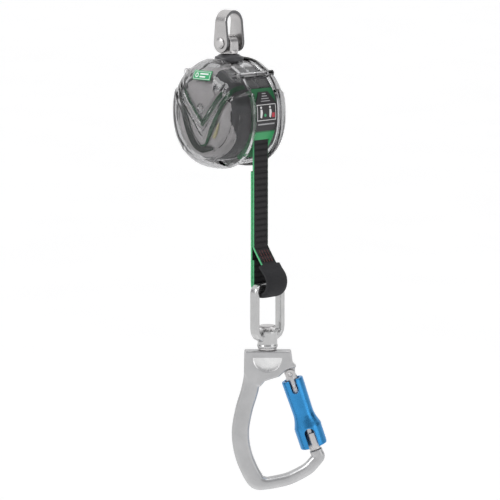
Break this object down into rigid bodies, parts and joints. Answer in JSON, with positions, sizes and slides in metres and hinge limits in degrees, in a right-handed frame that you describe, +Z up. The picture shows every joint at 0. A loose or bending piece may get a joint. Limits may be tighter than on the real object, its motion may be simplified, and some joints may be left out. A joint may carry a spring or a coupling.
{
  "type": "self retracting lifeline",
  "caption": "Compact web fall limiter: clear case with a spring drum and lock, a swivel anchor bail above and a web line with a swivel karabiner below.",
  "frame": {"origin": "inner top of the anchor bail, where the anchor connector bears", "axes": "+Z up along the hanging device, +Y along the drum's axis, +X towards the front of the case where the line leaves it"},
  "size_m": [0.1568, 0.0867, 0.4796],
  "materials": {
    "clear_polycarbonate": "clear, glossy",
    "dark_grey_plastic": "fine texture",
    "green_plastic": "satin",
    "grey_plate": "matt",
    "black_label": "matt",
    "stainless_steel": "brushed",
    "yellow_zinc": "passivated",
    "spring_steel": "blued",
    "bronze": "plain",
    "aluminium": "satin",
    "blue_anodised": "anodised",
    "black_web": "woven",
    "green_web": "woven",
    "black_sleeve": "woven"
  },
  "bodies": {
    "bail": {"bail_strap": "stainless_steel", "bail_pin": "stainless_steel", "bail_pin_clip": "spring_steel"},
    "swivel": {"swivel_block": "stainless_steel", "swivel_nut": "stainless_steel"},
    "case": {"left_shell": "clear_polycarbonate", "right_shell": "clear_polycarbonate", "left_inner_casing": "dark_grey_plastic", "right_inner_casing": "dark_grey_plastic", "left_inner_chevron": "green_plastic", "left_outer_chevron": "green_plastic", "right_inner_chevron": "green_plastic", "right_outer_chevron": "green_plastic", "badge": "green_plastic", "left_shield_plate": "grey_plate", "right_shield_plate": "grey_plate", "front_label": "black_label", "web_guide": "green_plastic", "case_screw_1": "stainless_steel", "case_screw_2": "stainless_steel", "case_screw_3": "stainless_steel", "case_screw_4": "stainless_steel", "load_frame": "stainless_steel", "frame_spacer": "stainless_steel", "left_shaft_bush": "bronze", "right_shaft_bush": "bronze", "swivel_bush": "bronze", "thrust_washer": "stainless_steel", "swivel_collar": "dark_grey_plastic", "ratchet_ring": "stainless_steel", "absorber_strip": "stainless_steel", "absorber_cover": "yellow_zinc", "spring_case": "dark_grey_plastic", "spring_cover": "yellow_zinc", "power_spring": "spring_steel", "web_inner_run": "black_web", "web_line": "black_web"},
    "drum": {"drum": "aluminium", "wound_web": "black_web", "main_shaft": "stainless_steel", "left_shaft_clip": "spring_steel", "right_shaft_clip": "spring_steel", "pawl_carrier": "stainless_steel", "pawl_pin_1": "stainless_steel", "pawl_pin_2": "stainless_steel", "spring_arbor": "stainless_steel"},
    "pawl_1": {"pawl_1": "stainless_steel"},
    "pawl_2": {"pawl_2": "stainless_steel"},
    "line_end": {"web_loop": "black_web", "loop_liner": "green_web", "wear_sleeve": "black_sleeve"},
    "eye": {"swivel_eye": "aluminium", "swivel_washer": "stainless_steel"},
    "hook": {"karabiner_body": "aluminium", "swivel_rivet": "stainless_steel", "gate_hinge_pin": "stainless_steel"},
    "gate": {"gate_barrel": "stainless_steel", "gate_spring": "spring_steel"},
    "sleeve": {"gate_sleeve": "blue_anodised"}
  },
  "joints": [
    {"name": "bail_tilt", "type": "hinge", "parent": "bail", "child": "swivel", "pos_m": [0, 0, -0.0296], "axis": [0, 1, 0], "range_deg": [-90, 90]},
    {"name": "anchor_swivel", "type": "hinge", "parent": "swivel", "child": "case", "pos_m": [0, 0, -0.0484], "axis": [0, 0, 1], "continuous": true},
    {"name": "line_payout", "type": "slide", "parent": "case", "child": "line_end", "axis": [0, 0, -1], "range_m": [0, 1.4], "stiffness_N_per_m": 5, "springref_m": -3, "deforming": ["web_line"]},
    {"name": "drum_spin", "type": "hinge", "parent": "case", "child": "drum", "pos_m": [0, 0, -0.0984], "axis": [0, 1, 0], "range_deg": [0, 3800]},
    {"name": "pawl_1_swing", "type": "hinge", "parent": "drum", "child": "pawl_1", "pos_m": [0.018, -0.0228, -0.0984], "axis": [0, -1, 0], "range_deg": [0, 11], "stiffness_Nm_per_rad": 0.004, "springref_deg": -57.3},
    {"name": "pawl_2_swing", "type": "hinge", "parent": "drum", "child": "pawl_2", "pos_m": [-0.018, -0.0228, -0.0984], "axis": [0, -1, 0], "range_deg": [0, 11], "stiffness_Nm_per_rad": 0.004, "springref_deg": -57.3},
    {"name": "eye_swing", "type": "hinge", "parent": "line_end", "child": "eye", "pos_m": [0.0541, 0, -0.2688], "axis": [0, 1, 0], "range_deg": [-90, 90]},
    {"name": "hook_swivel", "type": "hinge", "parent": "eye", "child": "hook", "pos_m": [0.0541, 0, -0.3324], "axis": [0, 0, 1], "continuous": true},
    {"name": "gate_open", "type": "hinge", "parent": "hook", "child": "gate", "pos_m": [0.07022, 0.01612, -0.3582], "axis": [-0.7071, 0.7071, 0], "range_deg": [0, 30], "stiffness_Nm_per_rad": 0.3, "springref_deg": -34.38},
    {"name": "sleeve_twist", "type": "hinge", "parent": "gate", "child": "sleeve", "pos_m": [0.07022, 0.01612, -0.3582], "axis": [0.2232, 0.2232, -0.9489], "range_deg": [0, 90], "stiffness_Nm_per_rad": 0.05, "springref_deg": -57.3}
  ],
  "couplings": [
    {"joint": "drum_spin", "follows": "line_payout", "rad_per_m": 47.348}
  ]
}
